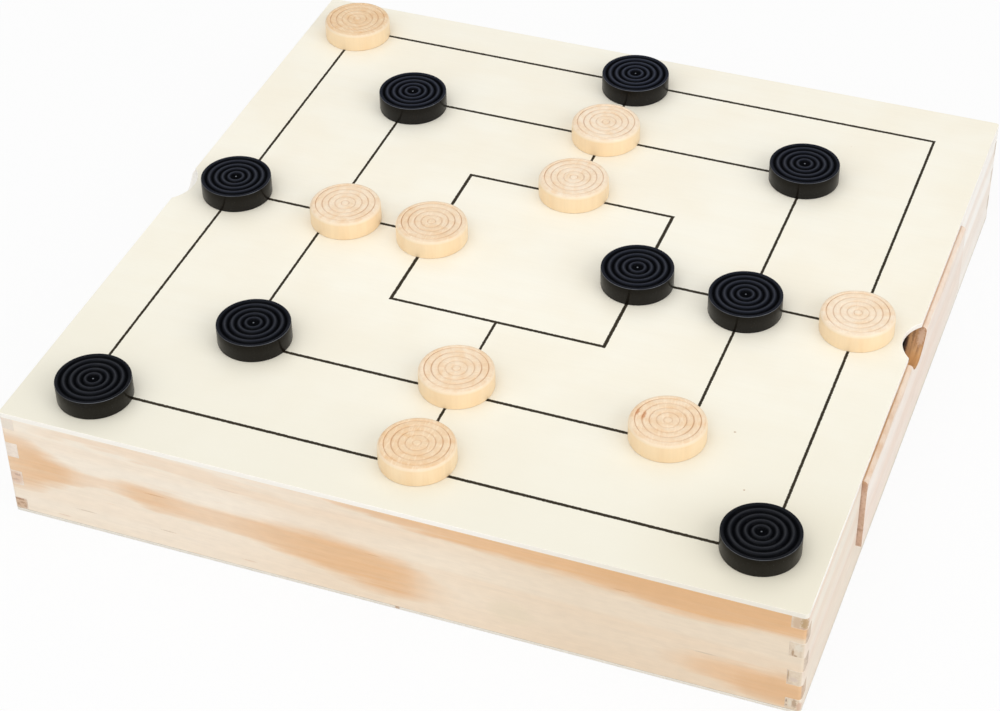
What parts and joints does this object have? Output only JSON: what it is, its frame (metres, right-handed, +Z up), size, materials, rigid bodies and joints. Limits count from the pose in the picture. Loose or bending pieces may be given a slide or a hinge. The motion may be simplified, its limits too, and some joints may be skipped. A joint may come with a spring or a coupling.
{
  "type": "nine mens morris box",
  "caption": "Flat square wooden game box with a printed nine men's morris board on top, a drawer at each side and turned wooden discs standing on the board.",
  "frame": {"origin": "centre of the underside of the box", "axes": "+X to the right along the front, the way the right drawer opens; +Y towards the back; +Z up"},
  "size_m": [0.304, 0.3, 0.0555],
  "materials": {
    "printed_board": "pale smooth plywood with a charcoal printed diagram, thin satin varnish",
    "plywood": "thin pale plywood, unfinished",
    "pine": "pale sanded pine with flowing orange grain, unfinished",
    "natural_beech": "turned natural wood, thin clear varnish",
    "black_lacquered_wood": "turned wood under glossy black lacquer"
  },
  "bodies": {
    "case": {"base_board": "plywood", "front_wall": "pine", "back_wall": "pine", "right_wall": "pine", "left_wall": "pine", "front_drawer_guide": "pine", "back_drawer_guide": "pine", "centre_divider": "pine", "game_board": "printed_board"},
    "right_drawer": {"right_drawer_front": "pine", "right_drawer_front_side": "pine", "right_drawer_back_side": "pine", "right_drawer_back": "pine", "right_drawer_base": "plywood"},
    "left_drawer": {"left_drawer_front": "pine", "left_drawer_front_side": "pine", "left_drawer_back_side": "pine", "left_drawer_back": "pine", "left_drawer_base": "plywood"},
    "black_disc_1": {"black_disc_1": "black_lacquered_wood"},
    "black_disc_2": {"black_disc_2": "black_lacquered_wood"},
    "black_disc_3": {"black_disc_3": "black_lacquered_wood"},
    "black_disc_4": {"black_disc_4": "black_lacquered_wood"},
    "black_disc_5": {"black_disc_5": "black_lacquered_wood"},
    "black_disc_6": {"black_disc_6": "black_lacquered_wood"},
    "black_disc_7": {"black_disc_7": "black_lacquered_wood"},
    "black_disc_8": {"black_disc_8": "black_lacquered_wood"},
    "black_disc_9": {"black_disc_9": "black_lacquered_wood"},
    "natural_disc_1": {"natural_disc_1": "natural_beech"},
    "natural_disc_2": {"natural_disc_2": "natural_beech"},
    "natural_disc_3": {"natural_disc_3": "natural_beech"},
    "natural_disc_4": {"natural_disc_4": "natural_beech"},
    "natural_disc_5": {"natural_disc_5": "natural_beech"},
    "natural_disc_6": {"natural_disc_6": "natural_beech"},
    "natural_disc_7": {"natural_disc_7": "natural_beech"},
    "natural_disc_8": {"natural_disc_8": "natural_beech"},
    "natural_disc_9": {"natural_disc_9": "natural_beech"}
  },
  "joints": [
    {"name": "right_drawer_slide", "type": "slide", "parent": "case", "child": "right_drawer", "axis": [1, 0, 0], "range_m": [0, 0.12]},
    {"name": "left_drawer_slide", "type": "slide", "parent": "case", "child": "left_drawer", "axis": [-1, 0, 0], "range_m": [0, 0.12]},
    {"name": "black_disc_1_lift", "type": "slide", "parent": "case", "child": "black_disc_1", "axis": [0, 0, 1], "range_m": [0, 0.08]},
    {"name": "black_disc_2_lift", "type": "slide", "parent": "case", "child": "black_disc_2", "axis": [0, 0, 1], "range_m": [0, 0.08]},
    {"name": "black_disc_3_lift", "type": "slide", "parent": "case", "child": "black_disc_3", "axis": [0, 0, 1], "range_m": [0, 0.08]},
    {"name": "black_disc_4_lift", "type": "slide", "parent": "case", "child": "black_disc_4", "axis": [0, 0, 1], "range_m": [0, 0.08]},
    {"name": "black_disc_5_lift", "type": "slide", "parent": "case", "child": "black_disc_5", "axis": [0, 0, 1], "range_m": [0, 0.08]},
    {"name": "black_disc_6_lift", "type": "slide", "parent": "case", "child": "black_disc_6", "axis": [0, 0, 1], "range_m": [0, 0.08]},
    {"name": "black_disc_7_lift", "type": "slide", "parent": "case", "child": "black_disc_7", "axis": [0, 0, 1], "range_m": [0, 0.08]},
    {"name": "black_disc_8_lift", "type": "slide", "parent": "case", "child": "black_disc_8", "axis": [0, 0, 1], "range_m": [0, 0.08]},
    {"name": "black_disc_9_lift", "type": "slide", "parent": "case", "child": "black_disc_9", "axis": [0, 0, 1], "range_m": [0, 0.08]},
    {"name": "natural_disc_1_lift", "type": "slide", "parent": "case", "child": "natural_disc_1", "axis": [0, 0, 1], "range_m": [0, 0.08]},
    {"name": "natural_disc_2_lift", "type": "slide", "parent": "case", "child": "natural_disc_2", "axis": [0, 0, 1], "range_m": [0, 0.08]},
    {"name": "natural_disc_3_lift", "type": "slide", "parent": "case", "child": "natural_disc_3", "axis": [0, 0, 1], "range_m": [0, 0.08]},
    {"name": "natural_disc_4_lift", "type": "slide", "parent": "case", "child": "natural_disc_4", "axis": [0, 0, 1], "range_m": [0, 0.08]},
    {"name": "natural_disc_5_lift", "type": "slide", "parent": "case", "child": "natural_disc_5", "axis": [0, 0, 1], "range_m": [0, 0.08]},
    {"name": "natural_disc_6_lift", "type": "slide", "parent": "case", "child": "natural_disc_6", "axis": [0, 0, 1], "range_m": [0, 0.08]},
    {"name": "natural_disc_7_lift", "type": "slide", "parent": "case", "child": "natural_disc_7", "axis": [0, 0, 1], "range_m": [0, 0.08]},
    {"name": "natural_disc_8_lift", "type": "slide", "parent": "case", "child": "natural_disc_8", "axis": [0, 0, 1], "range_m": [0, 0.08]},
    {"name": "natural_disc_9_lift", "type": "slide", "parent": "case", "child": "natural_disc_9", "axis": [0, 0, 1], "range_m": [0, 0.08]}
  ]
}
